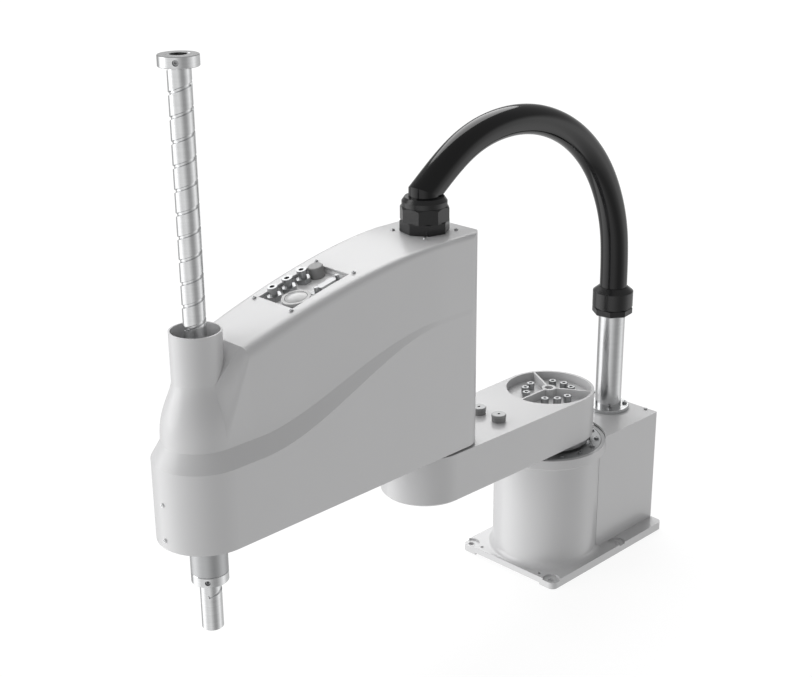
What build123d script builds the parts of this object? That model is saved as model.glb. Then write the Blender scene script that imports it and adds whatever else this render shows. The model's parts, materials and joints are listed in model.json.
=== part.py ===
from build123d import *
import os
from math import asin, atan2, ceil, cos, pi, radians, sin, tan

os.makedirs("parts", exist_ok=True)

# All sizes are in millimetres. Axis 1 stands on the origin, the arms point along +X, and the
# base stands on z = 0.
arm_1_length = 250.0
arm_2_length = 350.0
elbow_x = arm_1_length
tool_x = arm_1_length + arm_2_length

fit_gap = 0.2
running_gap = 0.6
wall = 3.0

# Base
plate_rear = 174.5
plate_width = 170.5
plate_thickness = 12.0
plate_corner = 9.0
bolt_inset = 10.25
bolt_front_inset = 8.0
bolt_spacing = plate_width - 2 * bolt_inset
plate_front = bolt_spacing / 2 + bolt_front_inset
bolt_hole_radius = 4.5
spot_face_radius = 12.0
spot_face_depth = 2.5
dowel_hole_radius = 2.5
dowel_inset = 21.0
relief_depth = 3.0
relief_length = 15.0
relief_width = 120.0
column_radius = 75.0
column_bore = 66.0
column_floor = 20.0
foot_radius = 8.0
collar_radius = 81.7
collar_height = 13.0
column_top = 180.0
cable_window_height = 60.0
cable_window_width = 50.0
cable_window_centre = 90.0

# Rear housing, standpipe and hose ends
housing_width = 130.0
housing_top = 184.0
rear_centre = 100.0
rear_window_width = 90.0
rear_window_height = 110.0
rear_plate_width = 100.0
rear_plate_height = 120.0
rear_plate_corner = 3.0
rear_plate_thickness = 2.0
pipe_x = -140.0
pipe_radius = 19.0
pipe_wall = 2.0
pipe_top = 341.0
pipe_flange_radius = 31.0
pipe_flange_thickness = 5.0
pipe_screw_circle = 25.0
gland_sides = 8
gland_turn = 31.0
lower_ring_height = 9.0
lower_groove = 3.0
lower_nut_top = 373.0
lower_taper = 7.0
lower_gland_radius = 28.9
upper_gland_radius = 30.9
hose_radius = 19.5
cable_bore = 14.0
boot_mitre = 583.8
boot_turn = 53.0
boot_reach = 21.0
hose_lead = 40.0

# First arm
arm_1_bottom = 190.0
arm_1_top = 256.0
arm_1_root_radius = 63.3
arm_1_tip_radius = 57.5
casting_wall = 8.0
pocket_depth = 48.0
recess_radius = 59.5
recess_depth = 12.0
spoke_thickness = 2.6
hub_radius = 10.0
hub_bore = 6.0
output_screw_circle = 33.3
output_screw_radius = 5.5
output_screw_height = 9.5
stop_reach = 114.0
stop_offsets = (-9.5, 26.0)
stop_radius = 9.9
stop_ring_height = 6.5
stop_head_height = 3.5

# Joint 1 drive
ring_plate_thickness = 5.5
ring_plate_inner = 60.5
ring_screw_circle = 69.2
ring_screw_count = 15
ring_screw_turn = 8.4
reducer_height = 24.0
reducer_inner = 45.0
output_flange_radius = 58.0
wave_cavity_radius = 34.0
motor_1_radius = 42.0
motor_1_length = 112.0

# Second arm: the cover
cover_bottom = 259.0
cover_rear_reach = 52.0
cover_half_width = 56.7
cover_top = 536.8
cover_fall = 57.0
cover_slope_start = 30.0
crest_reach = 35.0
cover_corner = 30.0
step_depth = 11.7
step_fade = 0.4
band_front_height = 355.0
band_rise = 82.0
band_front_width = 20.0
band_rear_width = 6.0
edge_round_front = 14.0
edge_round_rear = 7.0
nose_shoulder_height = 380.0
nose_shoulder_pull = 32.0
nose_crown_height = 444.0
nose_crown_pull = 17.0
nose_crown_flare = 2.0
cup_radius = 28.9
cup_wall = 1.9
cup_rim = 500.0

# Window in the cover and the panel of connections in it
window_front_reach = 110.5
window_length = 88.0
window_width = 58.4
panel_depth = 8.0
panel_thickness = 2.0
panel_rim = 9.0
fitting_front_inset = 15.0
fitting_rear_inset = 28.0
fitting_side_inset = 8.8
fitting_radius = 6.1
fitting_height = 16.5
tube_bore = 3.0
button_radius = 17.0
button_dome_radius = 12.8
button_inset = 4.0
cap_radius = 9.0
cap_height = 14.0
cap_inset = 10.5
socket_inset = 1.85
socket_gap = 4.85

# Gland on the cover
upper_ring_height = 13.7
upper_nut_height = 18.0
upper_band_height = 6.2
upper_taper_height = 5.0
upper_band_radius = 28.0
upper_rim_radius = 24.5
gland_hole_radius = 22.0
gland_screw_spacing = 54.6

# Second arm: the frame and its drives
frame_bottom = 262.0
frame_thickness = 12.0
shelf_bottom = 388.0
shelf_thickness = 10.0
web_reach = 50.0
web_thickness = 8.0
lug_top = 322.0
cover_screw_heights = (270.0, 313.0)
j2_flange_radius = 40.0
j2_hub_radius = 30.0
j2_reducer_radius = 44.0
j2_reducer_top = 290.0
j2_wave_radius = 21.4
motor_2_radius = 38.0
motor_2_length = 110.0
small_motor_size = 60.0
small_motor_length = 80.0
z_motor_reach = 97.0
motor_gap = 13.0
pulley_height = 10.0
tool_pulley_radius = 26.0
motor_pulley_radius = 13.0
belt_thickness = 2.0

# Tool shaft: a hollow ball screw spline with a stop collar at each end
shaft_radius = 12.5
shaft_bore = 9.0
shaft_bottom = 138.0
shaft_top = 791.0
screw_lead = 25.0
groove_width = 4.0
groove_depth = 1.6
groove_start_height = 181.8
groove_start_angle = 40.0
shaft_clearance = 0.4
stop_collar_radius = 21.5
stop_collar_height = 12.0
quill_radius = 21.5
quill_bottom = 211.5
quill_wall = 2.0
quill_flange_radius = 34.0
quill_flange_thickness = 5.0
spline_nut_radius = 15.8
screw_nut_radius = 20.0
screw_nut_length = 72.0

# Screw heads
small_head = 2.6
small_head_height = 2.0
small_shank = 1.5


def at(x, z, y=0.0):
    """A level plane with its origin at that place."""
    return Plane(origin=(x, y, z))


def link_outline(x_a, radius_a, x_b, radius_b, mode=Mode.ADD):
    """Two circles and their common tangents, in the sketch that is being drawn."""
    lean = asin((radius_a - radius_b) / (x_b - x_a))
    with Locations((x_a, 0)):
        Circle(radius_a, mode=mode)
    with Locations((x_b, 0)):
        Circle(radius_b, mode=mode)
    Polygon(
        (x_a + radius_a * sin(lean), radius_a * cos(lean)),
        (x_b + radius_b * sin(lean), radius_b * cos(lean)),
        (x_b + radius_b * sin(lean), -radius_b * cos(lean)),
        (x_a + radius_a * sin(lean), -radius_a * cos(lean)),
        align=None,
        mode=mode,
    )


def ease(share):
    """A smooth step from 0 to 1."""
    share = min(max(share, 0.0), 1.0)
    return share * share * (3 - 2 * share)


# Base casting: bolted plate, column and collar in one piece
collar_bottom = column_top - collar_height
collar_flare = 5.0


def column_side(gap, top):
    """Half of the column's section, from its axis to its side, or to a gap outside it."""
    side = column_radius + gap
    lip = collar_radius + gap
    with BuildSketch(Plane.XZ) as half:
        with BuildLine():
            Line((0, plate_thickness), (side + foot_radius, plate_thickness))
            RadiusArc(
                (side + foot_radius, plate_thickness),
                (side, plate_thickness + foot_radius),
                foot_radius,
            )
            Polyline(
                (side, plate_thickness + foot_radius),
                (side, collar_bottom - collar_flare),
                (lip, collar_bottom),
                (lip, top),
                (0, top),
                (0, plate_thickness),
            )
        make_face()
    return half.sketch

ring_seat = column_top - ring_plate_thickness

with BuildPart() as base_casting:
    with BuildSketch(at((plate_front - plate_rear) / 2, 0)):
        RectangleRounded(plate_front + plate_rear, plate_width, plate_corner)
    extrude(amount=plate_thickness)
    revolve(column_side(0, column_top), axis=Axis.Z)
    with BuildSketch(at(plate_front + foot_radius, plate_thickness)):
        Rectangle(2 * foot_radius, plate_width)
    extrude(amount=foot_radius, mode=Mode.SUBTRACT)
    with BuildSketch(at(0, column_floor)):
        Circle(column_bore)
    extrude(amount=column_top - column_floor, mode=Mode.SUBTRACT)
    with BuildSketch(at(0, ring_seat)):
        Circle(ring_screw_circle + 7 + fit_gap)
    extrude(amount=ring_plate_thickness, mode=Mode.SUBTRACT)
    with BuildSketch(Plane(origin=(-column_radius, 0, cable_window_centre), z_dir=(-1, 0, 0))):
        Rectangle(cable_window_width, cable_window_height)
    extrude(amount=2 * (column_radius - column_bore), both=True, mode=Mode.SUBTRACT)
    with BuildSketch(Plane.XY):
        with GridLocations(bolt_spacing, bolt_spacing, 2, 2):
            Circle(bolt_hole_radius)
        with Locations((bolt_spacing / 2, 0)):
            with GridLocations(0, bolt_spacing - 2 * dowel_inset, 1, 2):
                Circle(dowel_hole_radius)
    extrude(amount=plate_thickness, mode=Mode.SUBTRACT)
    with BuildSketch(at(0, plate_thickness - spot_face_depth)):
        with GridLocations(bolt_spacing, bolt_spacing, 2, 2):
            Circle(spot_face_radius)
        Circle(column_radius + 1, mode=Mode.SUBTRACT)
    extrude(amount=spot_face_depth, mode=Mode.SUBTRACT)
    with BuildSketch(at(plate_front - relief_length / 2, 0)):
        Rectangle(relief_length, relief_width)
    extrude(amount=relief_depth, mode=Mode.SUBTRACT)

base_casting.part.label = "base_casting"
export_step(base_casting.part, "parts/base_casting.step")

# Ring plate that holds the joint 1 reducer down, and its screws
with BuildPart() as j1_ring_plate:
    with BuildSketch(at(0, ring_seat)):
        Circle(ring_screw_circle + 7)
        Circle(ring_plate_inner, mode=Mode.SUBTRACT)
    extrude(amount=ring_plate_thickness)
    chamfer(j1_ring_plate.edges().group_by(Axis.Z)[-1].sort_by(SortBy.LENGTH)[-1], 0.8)

j1_ring_plate.part.label = "j1_ring_plate"
export_step(j1_ring_plate.part, "parts/j1_ring_plate.step")

with BuildPart() as j1_ring_screws:
    with BuildSketch(at(0, column_top)):
        with PolarLocations(ring_screw_circle, ring_screw_count, start_angle=ring_screw_turn):
            Circle(3.2)
            RegularPolygon(1.6, 6, mode=Mode.SUBTRACT)
    extrude(amount=3)
    with BuildSketch(at(0, column_top)):
        with PolarLocations(ring_screw_circle, ring_screw_count, start_angle=ring_screw_turn):
            Circle(3.2)
    extrude(amount=1)

j1_ring_screws.part.label = "j1_ring_screws"
export_step(j1_ring_screws.part, "parts/j1_ring_screws.step")

# Joint 1 reducer: a fixed outer ring under the ring plate
reducer_bottom = ring_seat - reducer_height

with BuildPart() as j1_reducer:
    with BuildSketch(at(0, reducer_bottom)):
        Circle(column_bore - fit_gap)
        Circle(reducer_inner, mode=Mode.SUBTRACT)
    extrude(amount=reducer_height)

j1_reducer.part.label = "j1_reducer"
export_step(j1_reducer.part, "parts/j1_reducer.step")

# Joint 1 motor: it hangs from the reducer by its flange
motor_1_flange = 8.0

with BuildPart() as j1_motor:
    with BuildSketch(at(0, reducer_bottom - motor_1_flange)):
        Circle(column_bore - fit_gap)
    extrude(amount=motor_1_flange)
    with BuildSketch(at(0, reducer_bottom - motor_1_length)):
        Circle(motor_1_radius)
    extrude(amount=motor_1_length - motor_1_flange)
    fillet(j1_motor.edges().group_by(Axis.Z)[0], 4)
    with BuildSketch(at(0, reducer_bottom - motor_1_flange)):
        Circle(hub_radius)
    extrude(amount=motor_1_flange, mode=Mode.SUBTRACT)

j1_motor.part.label = "j1_motor"
export_step(j1_motor.part, "parts/j1_motor.step")

# Joint 1 wave generator on the motor's shaft
wave_bottom = reducer_bottom + 5
wave_height = 12.0

with BuildPart() as j1_wave_generator:
    with BuildSketch(at(0, reducer_bottom - motor_1_flange + running_gap)):
        Circle(hub_radius - running_gap)
    extrude(amount=wave_bottom - reducer_bottom + motor_1_flange)
    with BuildSketch(at(0, wave_bottom)):
        Ellipse(wave_cavity_radius - running_gap, wave_cavity_radius - 2)
    extrude(amount=wave_height)

j1_wave_generator.part.label = "j1_wave_generator"
export_step(j1_wave_generator.part, "parts/j1_wave_generator.step")

# Joint 1 output flange: bolted under the first arm, with its cup in the reducer
with BuildPart() as j1_output_flange:
    with BuildSketch(at(0, wave_bottom - 1)):
        Circle(reducer_inner - running_gap)
        Circle(wave_cavity_radius, mode=Mode.SUBTRACT)
    extrude(amount=wave_height + 2)
    with BuildSketch(at(0, wave_bottom + wave_height + 1)):
        Circle(reducer_inner - running_gap)
    extrude(amount=ring_seat - wave_bottom - wave_height + 8)
    with BuildSketch(at(0, column_top + 3)):
        Circle(output_flange_radius)
    extrude(amount=arm_1_bottom - column_top - 3)

j1_output_flange.part.label = "j1_output_flange"
export_step(j1_output_flange.part, "parts/j1_output_flange.step")

# Rear housing: a folded box behind the column, closed by the column itself
housing_front = 20.0
housing_height = housing_top - plate_thickness
housing_centre = -(plate_rear + housing_front) / 2
housing_length = plate_rear - housing_front

with BuildPart() as rear_housing:
    with BuildSketch(at(housing_centre, plate_thickness)):
        Rectangle(housing_length, housing_width)
    extrude(amount=housing_height)
    fillet(rear_housing.edges().filter_by(Axis.Z).group_by(Axis.X)[0], 2)
    with BuildSketch(at(housing_centre + wall, plate_thickness)):
        Rectangle(housing_length, housing_width - 2 * wall)
    extrude(amount=housing_height - wall, mode=Mode.SUBTRACT)
    revolve(column_side(fit_gap, housing_top), axis=Axis.Z, mode=Mode.SUBTRACT)
    with BuildSketch(at(pipe_x, plate_thickness)):
        Circle(pipe_radius - pipe_wall)
    extrude(amount=housing_height, mode=Mode.SUBTRACT)
    with BuildSketch(Plane(origin=(-plate_rear, 0, rear_centre), z_dir=(-1, 0, 0))):
        Rectangle(rear_window_width, rear_window_height)
    extrude(amount=2 * wall, both=True, mode=Mode.SUBTRACT)

rear_housing.part.label = "rear_housing"
export_step(rear_housing.part, "parts/rear_housing.step")

# Screws in the top of the rear housing
housing_screw_places = [(4.5 - plate_rear, y) for y in (-47.0, 47.0)]

with BuildPart() as housing_screws:
    with BuildSketch(at(0, housing_top)):
        with Locations(*housing_screw_places):
            Circle(small_head)
    extrude(amount=small_head_height)
    chamfer(housing_screws.edges().group_by(Axis.Z)[-1], 0.6)

housing_screws.part.label = "housing_screws"
export_step(housing_screws.part, "parts/housing_screws.step")

# Connector plate in the rear wall, with its air fittings and sockets
fitting_spacing = (window_length - fitting_front_inset - fitting_rear_inset) / 2

rear_plate_face = (-plate_rear - rear_plate_thickness, 0, rear_centre)

with BuildPart() as rear_connector_plate:
    with BuildSketch(Plane(origin=rear_plate_face, z_dir=(1, 0, 0), x_dir=(0, 1, 0))):
        RectangleRounded(rear_plate_width, rear_plate_height, rear_plate_corner)
    extrude(amount=rear_plate_thickness)

rear_connector_plate.part.label = "rear_connector_plate"
export_step(rear_connector_plate.part, "parts/rear_connector_plate.step")

rear_face = Plane(origin=rear_plate_face, z_dir=(-1, 0, 0), x_dir=(0, 1, 0))

with BuildPart() as rear_air_fittings:
    with BuildSketch(rear_face):
        with Locations((-fitting_spacing, 38), (0, 38), (fitting_spacing, 38)):
            RegularPolygon(7, 6)
            Circle(tube_bore, mode=Mode.SUBTRACT)
    extrude(amount=6)
    with BuildSketch(rear_face):
        with Locations((-fitting_spacing, 38), (0, 38), (fitting_spacing, 38)):
            Circle(5.5)
            Circle(tube_bore, mode=Mode.SUBTRACT)
    extrude(amount=13)

rear_air_fittings.part.label = "rear_air_fittings"
export_step(rear_air_fittings.part, "parts/rear_air_fittings.step")

with BuildPart() as rear_sockets:
    with BuildSketch(rear_face):
        with Locations((-20, -15), (20, -15)):
            RectangleRounded(32, 32, 4)
    extrude(amount=4)
    with BuildSketch(rear_face):
        with Locations((-20, -15), (20, -15)):
            Circle(14)
            Circle(12, mode=Mode.SUBTRACT)
    extrude(amount=14)
    with BuildSketch(rear_face):
        with Locations((-20, -15), (20, -15)):
            Circle(12)
    extrude(amount=12)

rear_sockets.part.label = "rear_sockets"
export_step(rear_sockets.part, "parts/rear_sockets.step")

# Standpipe with its welded flange
with BuildPart() as standpipe:
    with BuildSketch(at(pipe_x, housing_top)):
        Circle(pipe_flange_radius)
    extrude(amount=pipe_flange_thickness)
    chamfer(standpipe.edges().group_by(Axis.Z)[-1], 1)
    with BuildSketch(at(pipe_x, housing_top)):
        Circle(pipe_radius)
    extrude(amount=pipe_top - housing_top)
    with BuildSketch(at(pipe_x, housing_top)):
        Circle(pipe_radius - pipe_wall)
    extrude(amount=pipe_top - housing_top, mode=Mode.SUBTRACT)

standpipe.part.label = "standpipe"
export_step(standpipe.part, "parts/standpipe.step")

with BuildPart() as standpipe_screws:
    with BuildSketch(at(pipe_x, housing_top + pipe_flange_thickness)):
        with PolarLocations(pipe_screw_circle, 4, start_angle=45):
            Circle(3.4)
    extrude(amount=3.2)
    with BuildSketch(at(pipe_x, housing_top + pipe_flange_thickness + 1.4)):
        with PolarLocations(pipe_screw_circle, 4, start_angle=45):
            RegularPolygon(1.8, 6)
    extrude(amount=2, mode=Mode.SUBTRACT)

standpipe_screws.part.label = "standpipe_screws"
export_step(standpipe_screws.part, "parts/standpipe_screws.step")


def octagon_piece(x, bottom, height, radius, turn, bore):
    """An eight sided ring, as glands have for a spanner."""
    with BuildPart() as piece:
        with BuildSketch(at(x, bottom)):
            RegularPolygon(radius, gland_sides, rotation=turn)
            Circle(bore, mode=Mode.SUBTRACT)
        extrude(amount=height)
    return piece.part


# Lower gland: an eight sided lock ring and a round capped nut on top of the pipe
lower_ring_bottom = pipe_top - lower_ring_height
half_side_turn = 180 / gland_sides

with BuildPart() as lower_gland_ring:
    add(
        octagon_piece(
            pipe_x,
            lower_ring_bottom,
            lower_ring_height,
            lower_gland_radius,
            gland_turn,
            pipe_radius + fit_gap,
        )
    )
    chamfer(lower_gland_ring.edges().group_by(Axis.Z)[0].group_by(SortBy.LENGTH)[0], 1.5)

lower_gland_ring.part.label = "lower_gland_ring"
export_step(lower_gland_ring.part, "parts/lower_gland_ring.step")

with BuildPart() as lower_gland_nut:
    with BuildSketch(at(pipe_x, pipe_top)):
        Circle(lower_gland_radius - 3)
    extrude(amount=lower_groove)
    with BuildSketch(at(pipe_x, pipe_top + lower_groove)):
        Circle(lower_gland_radius)
    extrude(amount=lower_nut_top - lower_taper - pipe_top - lower_groove)
    with BuildSketch(at(pipe_x, lower_nut_top - lower_taper)):
        Circle(lower_gland_radius)
    with BuildSketch(at(pipe_x, lower_nut_top)):
        Circle(hose_radius + 1)
    loft()
    with BuildSketch(at(pipe_x, pipe_top)):
        Circle(cable_bore)
    extrude(amount=lower_nut_top - pipe_top, mode=Mode.SUBTRACT)

lower_gland_nut.part.label = "lower_gland_nut"
export_step(lower_gland_nut.part, "parts/lower_gland_nut.step")


# First arm: two rounded ends joined by tangent sides
recess_floor = arm_1_top - recess_depth
spoke_angles = (0, 120, 240)

with BuildPart() as arm_1_casting:
    with BuildSketch(at(0, arm_1_bottom)):
        link_outline(0, arm_1_root_radius, elbow_x, arm_1_tip_radius)
    extrude(amount=arm_1_top - arm_1_bottom)
    chamfer(arm_1_casting.edges().group_by(Axis.Z)[0], 2.5)
    with BuildSketch(at(0, recess_floor)):
        Circle(recess_radius)
        Circle(hub_radius, mode=Mode.SUBTRACT)
        for angle in spoke_angles:
            with Locations(Location((0, 0, 0), (0, 0, angle))):
                Rectangle(
                    recess_radius + 1,
                    spoke_thickness,
                    align=(Align.MIN, Align.CENTER),
                    mode=Mode.SUBTRACT,
                )
    extrude(amount=recess_depth, mode=Mode.SUBTRACT)
    with BuildSketch(at(0, recess_floor)):
        Circle(hub_bore)
    extrude(amount=recess_depth, mode=Mode.SUBTRACT)
    with BuildSketch(at(0, arm_1_bottom)):
        Rectangle(
            elbow_x - j2_flange_radius - casting_wall,
            2 * arm_1_tip_radius - 2 * casting_wall,
            align=(Align.MIN, Align.CENTER),
        )
        Circle(arm_1_root_radius, mode=Mode.SUBTRACT)
        with Locations((elbow_x, 0)):
            Circle(j2_flange_radius + casting_wall, mode=Mode.SUBTRACT)
        Rectangle(2 * elbow_x, casting_wall, mode=Mode.SUBTRACT)
    extrude(amount=pocket_depth, mode=Mode.SUBTRACT)

arm_1_casting.part.label = "arm_1_casting"
export_step(arm_1_casting.part, "parts/arm_1_casting.step")

# Nine socket screws between the spokes hold the arm on the output flange
output_screw_places = [
    (output_screw_circle * cos(radians(angle)), output_screw_circle * sin(radians(angle)))
    for spoke in spoke_angles
    for angle in (spoke + 30, spoke + 60, spoke + 90)
]

with BuildPart() as j1_output_screws:
    with BuildSketch(at(0, recess_floor)):
        with Locations(*output_screw_places):
            Circle(output_screw_radius)
    extrude(amount=output_screw_height)
    chamfer(j1_output_screws.edges().group_by(Axis.Z)[-1], 0.5)
    with BuildSketch(at(0, recess_floor + output_screw_height - 4)):
        with Locations(*output_screw_places):
            RegularPolygon(2.6, 6)
    extrude(amount=4, mode=Mode.SUBTRACT)

j1_output_screws.part.label = "j1_output_screws"
export_step(j1_output_screws.part, "parts/j1_output_screws.step")

# Stops for the second arm: two large headed screws, each over a rubber ring
stop_places = [(elbow_x - stop_reach, y) for y in stop_offsets]

with BuildPart() as stop_rings:
    with BuildSketch(at(0, arm_1_top)):
        with Locations(*stop_places):
            Circle(stop_radius - 0.5)
            Circle(4 + fit_gap, mode=Mode.SUBTRACT)
    extrude(amount=stop_ring_height)

stop_rings.part.label = "stop_rings"
export_step(stop_rings.part, "parts/stop_rings.step")

with BuildPart() as stop_screws:
    with BuildSketch(at(0, arm_1_top)):
        with Locations(*stop_places):
            Circle(4)
    extrude(amount=stop_ring_height)
    with BuildSketch(at(0, arm_1_top + stop_ring_height)):
        with Locations(*stop_places):
            Circle(stop_radius)
    extrude(amount=stop_head_height)
    chamfer(stop_screws.edges().group_by(Axis.Z)[-1], 0.8)
    with BuildSketch(at(0, arm_1_top + stop_ring_height + 1)):
        with Locations(*stop_places):
            RegularPolygon(2.2, 6)
    extrude(amount=stop_head_height, mode=Mode.SUBTRACT)

stop_screws.part.label = "stop_screws"
export_step(stop_screws.part, "parts/stop_screws.step")

# Joint 2 output flange: bolted on the first arm, with its cup in the reducer above
j2_hub_bottom = frame_bottom + 2
j2_hub_height = 12.0
j2_cup_floor = 3.0

with BuildPart() as j2_output_flange:
    with BuildSketch(at(elbow_x, arm_1_top)):
        Circle(j2_flange_radius)
    extrude(amount=j2_hub_bottom - arm_1_top)
    with BuildSketch(at(elbow_x, j2_hub_bottom)):
        Circle(j2_hub_radius)
    extrude(amount=j2_hub_height)
    with BuildSketch(at(elbow_x, j2_hub_bottom + j2_cup_floor)):
        Circle(j2_wave_radius + running_gap)
    extrude(amount=j2_hub_height, mode=Mode.SUBTRACT)

j2_output_flange.part.label = "j2_output_flange"
export_step(j2_output_flange.part, "parts/j2_output_flange.step")

# Joint 2 reducer: seated in the frame of the second arm by its flange
frame_top = frame_bottom + frame_thickness
j2_hub_top = j2_hub_bottom + j2_hub_height

with BuildPart() as j2_reducer:
    with BuildSketch(at(elbow_x, j2_hub_bottom + 1)):
        Circle(j2_reducer_radius)
    extrude(amount=frame_top - j2_hub_bottom - 1)
    with BuildSketch(at(elbow_x, frame_top)):
        Circle(j2_reducer_radius + 4)
    extrude(amount=6)
    with BuildSketch(at(elbow_x, frame_top + 6)):
        Circle(j2_reducer_radius - 4)
    extrude(amount=j2_reducer_top - frame_top - 6)
    with BuildSketch(at(elbow_x, j2_hub_bottom)):
        Circle(j2_hub_radius + running_gap)
    extrude(amount=j2_hub_height + 1, mode=Mode.SUBTRACT)
    with BuildSketch(at(elbow_x, j2_hub_top)):
        Circle(hub_radius)
    extrude(amount=j2_reducer_top - j2_hub_top, mode=Mode.SUBTRACT)

j2_reducer.part.label = "j2_reducer"
export_step(j2_reducer.part, "parts/j2_reducer.step")

with BuildPart() as j2_wave_generator:
    with BuildSketch(at(elbow_x, j2_hub_bottom + j2_cup_floor + 1)):
        Ellipse(j2_wave_radius, j2_wave_radius - 1.5)
    extrude(amount=j2_hub_height - j2_cup_floor - 1)
    with BuildSketch(at(elbow_x, j2_hub_top)):
        Circle(hub_radius - running_gap)
    extrude(amount=j2_reducer_top - j2_hub_top + 6)

j2_wave_generator.part.label = "j2_wave_generator"
export_step(j2_wave_generator.part, "parts/j2_wave_generator.step")

with BuildPart() as j2_motor:
    with BuildSketch(at(elbow_x, j2_reducer_top)):
        Circle(motor_2_radius + 4)
    extrude(amount=6)
    with BuildSketch(at(elbow_x, j2_reducer_top + 6)):
        Circle(motor_2_radius)
    extrude(amount=motor_2_length - 6)
    fillet(j2_motor.edges().group_by(Axis.Z)[-1], 4)
    with BuildSketch(at(elbow_x, j2_reducer_top)):
        Circle(hub_radius)
    extrude(amount=7, mode=Mode.SUBTRACT)

j2_motor.part.label = "j2_motor"
export_step(j2_motor.part, "parts/j2_motor.step")

# Cover of the second arm. Its sides step in above a band that sweeps up to the rear, and its
# rounded top falls to the cup that the tool shaft runs in.
cover_rear = elbow_x - cover_rear_reach
crest_x = tool_x - crest_reach
slope_start_x = elbow_x + cover_slope_start


def slope_share(x):
    """How far x lies down the falling top, from 0 at its start to 1 at the crest."""
    return min(max((x - slope_start_x) / (crest_x - slope_start_x), 0.0), 1.0)


def top_height(x):
    return cover_top - cover_fall * slope_share(x) ** 1.65


def band_heights(x):
    """The foot and the head of the slanted band on the cover's side."""
    rise = ease(1 - slope_share(x + 5))
    foot = band_front_height + band_rise * rise
    head = foot + band_rear_width + (band_front_width - band_rear_width) * (1 - rise * rise)
    return foot, head


def cover_slice(x, inward):
    """The cover's section across the arm at x, moved in by a wall for the inside."""
    foot, head = band_heights(x)
    low = cover_half_width - inward
    high = low - step_fade - (step_depth - step_fade) * slope_share(x)
    top = top_height(x) - inward
    bend = edge_round_rear + (edge_round_front - edge_round_rear) * slope_share(x) - inward / 2
    floor = cover_bottom - inward
    with BuildSketch(Plane(origin=(x, 0, 0), x_dir=(0, 1, 0), z_dir=(1, 0, 0))) as section:
        with BuildLine():
            Polyline((high, top - bend), (high, head), (low, foot), (low, floor))
            Line((low, floor), (-low, floor))
            Polyline((-low, floor), (-low, foot), (-high, head), (-high, top - bend))
            Bezier((-high, top - bend), (-high, top), (-high + bend, top))
            Line((-high + bend, top), (high - bend, top))
            Bezier((high - bend, top), (high, top), (high, top - bend))
        make_face()
    return section.sketch


def nose_half(inward):
    """Half of the section at the tool's axis, from the axis out to the side."""
    foot, head = band_heights(tool_x)
    low = cover_half_width - inward
    high = low - step_depth
    floor = cover_bottom - inward
    crown = nose_crown_height - inward
    neck = cup_radius - inward
    return floor, foot, head, low, high, crown, neck


def shoulder_points(high, crown, neck):
    """The shoulder's curve: it swells out of the side and sweeps up into the cup's wall."""
    shoulder = nose_shoulder_height
    swell = (high, shoulder + nose_shoulder_pull)
    sweep = (neck + nose_crown_flare, crown - nose_crown_pull)
    return (high, shoulder), swell, sweep, (neck, crown)


def nose_slice(inward):
    floor, foot, head, low, high, crown, neck = nose_half(inward)
    shoulder = nose_shoulder_height
    curve = shoulder_points(high, crown, neck)
    with BuildSketch(Plane(origin=(tool_x, 0, 0), x_dir=(0, 1, 0), z_dir=(1, 0, 0))) as section:
        with BuildLine():
            Polyline((high, shoulder), (high, head), (low, foot), (low, floor))
            Line((low, floor), (-low, floor))
            Polyline((-low, floor), (-low, foot), (-high, head), (-high, shoulder))
            Bezier(*[(-y, z) for y, z in curve])
            Line((-neck, crown), (neck, crown))
            Bezier(*reversed(curve))
        make_face()
    return section.sketch


def cover_body(inward):
    """The cover's outer form, or the space inside it."""
    rear = cover_rear + inward
    floor = cover_bottom - inward
    fall = crest_x - slope_start_x
    slices = [cover_slice(slope_start_x + fall * step / 5, inward) for step in range(6)]
    floor, foot, head, low, high, crown, neck = nose_half(inward)
    shoulder = nose_shoulder_height
    edge = edge_round_rear - inward / 2
    lid = cover_top - inward
    far = tool_x + arm_2_length
    with BuildPart() as body:
        loft([cover_slice(rear, inward), slices[0]], ruled=True)
        loft(slices)
        loft([slices[-1], nose_slice(inward)], ruled=True)
        with BuildSketch(Plane(origin=(tool_x, 0, 0), x_dir=(0, -1, 0), z_dir=(-1, 0, 0))):
            with BuildLine():
                Polyline((0, floor), (low, floor), (low, foot), (high, head), (high, shoulder))
                Bezier(*shoulder_points(high, crown, neck))
                Polyline((neck, crown), (0, crown), (0, floor))
            make_face()
        revolve(axis=Axis((tool_x, 0, 0), (0, 0, 1)), revolution_arc=180)
        with BuildSketch(at(rear, floor)) as plan:
            Rectangle(4 * arm_2_length, 2 * low, align=(Align.MIN, Align.CENTER))
            fillet(plan.vertices().group_by(Axis.X)[0], cover_corner - inward)
        extrude(amount=cover_top, mode=Mode.INTERSECT)
        with BuildSketch(Plane.XZ):
            with BuildLine():
                Line((rear, floor), (rear, lid - edge))
                RadiusArc((rear, lid - edge), (rear + edge, lid), edge)
                Polyline((rear + edge, lid), (far, lid), (far, floor), (rear, floor))
            make_face()
        extrude(amount=arm_2_length, both=True, mode=Mode.INTERSECT)
    return body.part


# Window in the falling top, and the plane of the panel that closes it from below
window_front_x = tool_x - window_front_reach
window_rear_x = window_front_x - window_length
window_x = (window_front_x + window_rear_x) / 2
panel_rear_height = top_height(window_rear_x - panel_rim)
panel_front_height = top_height(window_front_x + panel_rim)
panel_fall = panel_rear_height - panel_front_height
panel_slope = atan2(panel_fall, window_length + 2 * panel_rim)
panel_top = (panel_rear_height + panel_front_height) / 2
panel_screw_u = window_length / 2 + panel_rim / 2
panel_screw_v = window_width / 2 + 2.6


def panel_plane(height):
    """The plane that lies along the window, at a height above the cover's top face."""
    tilt_x = sin(panel_slope)
    tilt_z = cos(panel_slope)
    origin = (window_x + height * tilt_x, 0, panel_top + height * tilt_z)
    return Plane(origin=origin, x_dir=(tilt_z, 0, -tilt_x), z_dir=(tilt_x, 0, tilt_z))


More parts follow.
